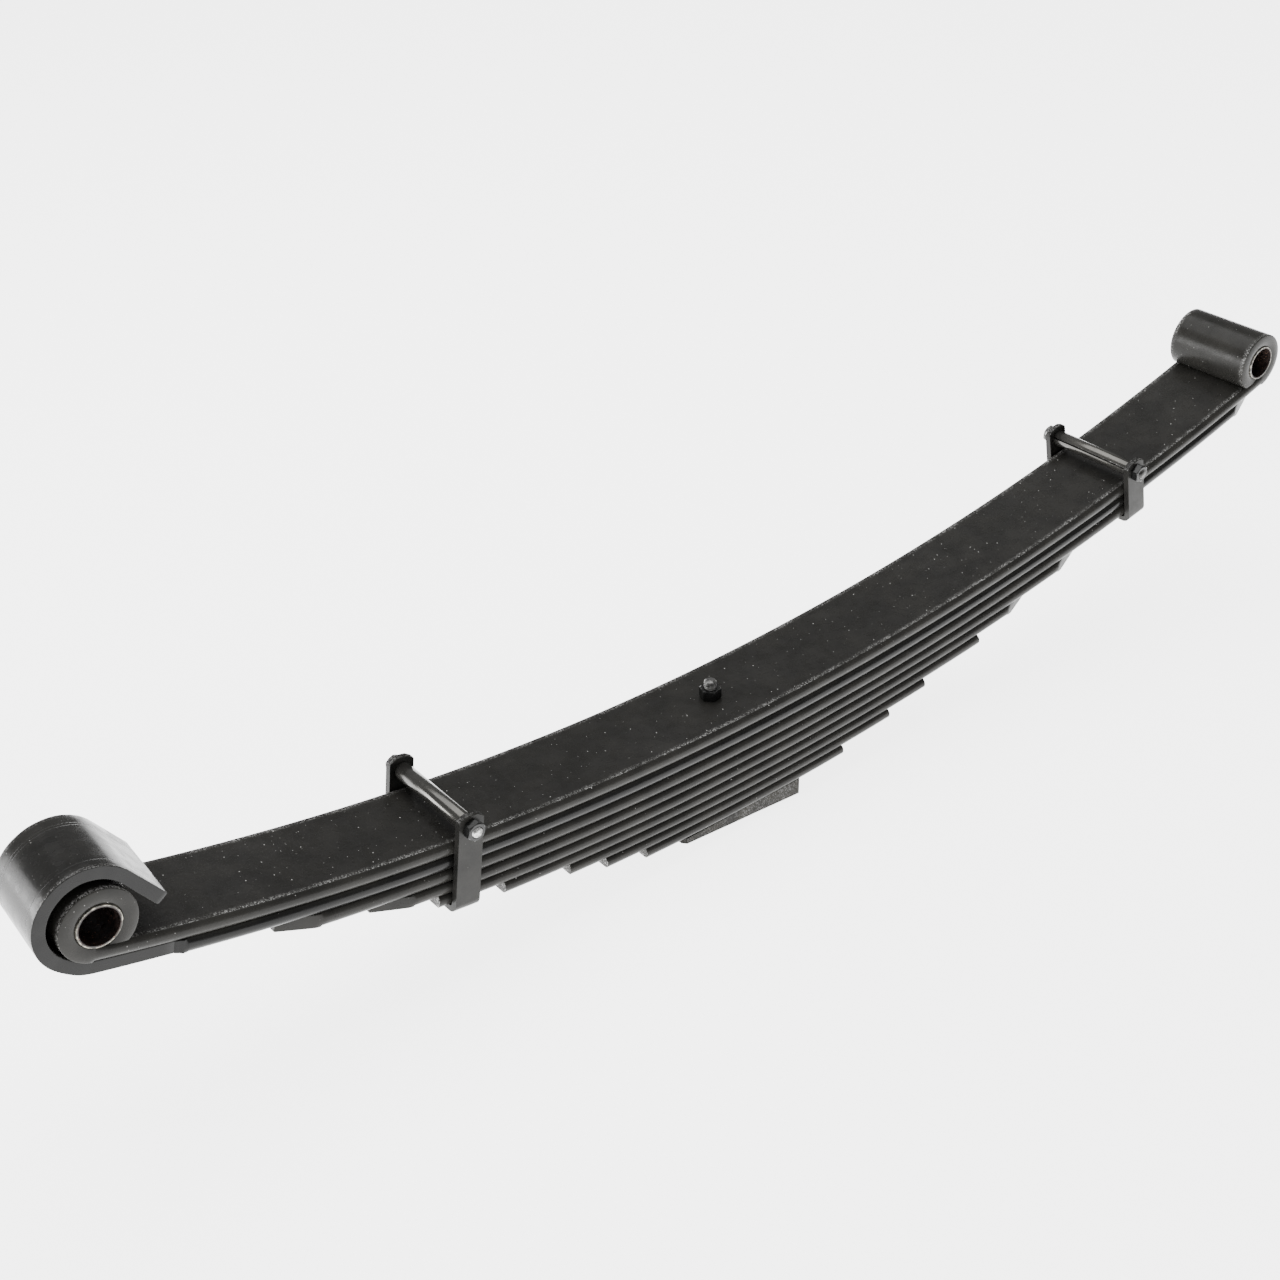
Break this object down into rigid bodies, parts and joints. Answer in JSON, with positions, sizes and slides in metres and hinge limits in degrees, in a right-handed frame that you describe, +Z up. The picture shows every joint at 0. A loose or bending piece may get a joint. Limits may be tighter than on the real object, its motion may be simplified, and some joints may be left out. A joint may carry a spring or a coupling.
{
  "type": "multi-leaf spring",
  "caption": "Semi-elliptic steel leaf spring with bushed upturned eyes, a military wrap on the front eye, bolted rebound clips and a taper plate under the pack.",
  "frame": {"origin": "where the centre bolt's axis crosses the taper plate's sloping underside, inside the bolt's round locating head", "axes": "+X along the spring to the rear eye, +Y across the leaves, +Z up, along the centre bolt towards its nut"},
  "size_m": [1.1312, 0.1005, 0.2245],
  "materials": {
    "leaf_steel": "satin black paint over spring steel",
    "wrap_steel": "satin dark grey paint",
    "clip_steel": "satin grey paint, worn at the edges",
    "hardware_black": "semi-gloss black paint on nuts",
    "bolt_steel": "zinc-plated, worn",
    "tube_steel": "dark glossy rolled tube",
    "bush_steel": "machined rim",
    "bush_bronze": "dull bronze",
    "plate_steel": "dark paint with light rust"
  },
  "bodies": {
    "spring_pack": {"main_leaf": "leaf_steel", "wrapper_leaf": "wrap_steel", "leaf_3": "leaf_steel", "leaf_4": "leaf_steel", "leaf_5": "leaf_steel", "leaf_6": "leaf_steel", "leaf_7": "leaf_steel", "leaf_8": "leaf_steel", "leaf_9": "leaf_steel", "taper_plate": "plate_steel", "centre_bolt": "bolt_steel", "centre_bolt_nut": "hardware_black"},
    "front_eye": {"front_bush_shell": "bush_steel", "front_bush_lining": "bush_bronze"},
    "rear_eye": {"rear_bush_shell": "bush_steel", "rear_bush_lining": "bush_bronze"},
    "front_clip": {"front_clip_strap": "clip_steel", "front_clip_bolt": "bolt_steel", "front_clip_nut": "hardware_black", "front_clip_tube": "tube_steel", "front_clip_rivet": "clip_steel"},
    "rear_clip": {"rear_clip_strap": "clip_steel", "rear_clip_bolt": "bolt_steel", "rear_clip_nut": "hardware_black", "rear_clip_tube": "tube_steel", "rear_clip_rivet": "clip_steel"}
  },
  "joints": [
    {"name": "front_flex", "type": "hinge", "parent": "spring_pack", "child": "front_eye", "pos_m": [-0.16698, 0, 0.09419], "axis": [0, -1, 0], "range_deg": [0, 11.8], "stiffness_Nm_per_rad": 23800, "deforming": ["main_leaf", "wrapper_leaf", "leaf_3", "leaf_4", "leaf_5", "leaf_6", "leaf_7", "leaf_8", "leaf_9"]},
    {"name": "rear_flex", "type": "hinge", "parent": "spring_pack", "child": "rear_eye", "pos_m": [0.1917, 0, 0.0955], "axis": [0, 1, 0], "range_deg": [0, 12.3], "stiffness_Nm_per_rad": 19300, "deforming": ["main_leaf", "wrapper_leaf", "leaf_3", "leaf_4", "leaf_5", "leaf_6", "leaf_7", "leaf_8", "leaf_9"]},
    {"name": "front_clip_follow", "type": "hinge", "parent": "spring_pack", "child": "front_clip", "pos_m": [-0.19553, 0, 0.09705], "axis": [0, -1, 0], "range_deg": [0, 9.22]},
    {"name": "rear_clip_follow", "type": "hinge", "parent": "spring_pack", "child": "rear_clip", "pos_m": [0.28288, 0, 0.10616], "axis": [0, 1, 0], "range_deg": [0, 16.87]}
  ],
  "couplings": [
    {"joint": "front_clip_follow", "follows": "front_flex", "ratio": 0.7795},
    {"joint": "rear_clip_follow", "follows": "rear_flex", "ratio": 1.3701}
  ]
}
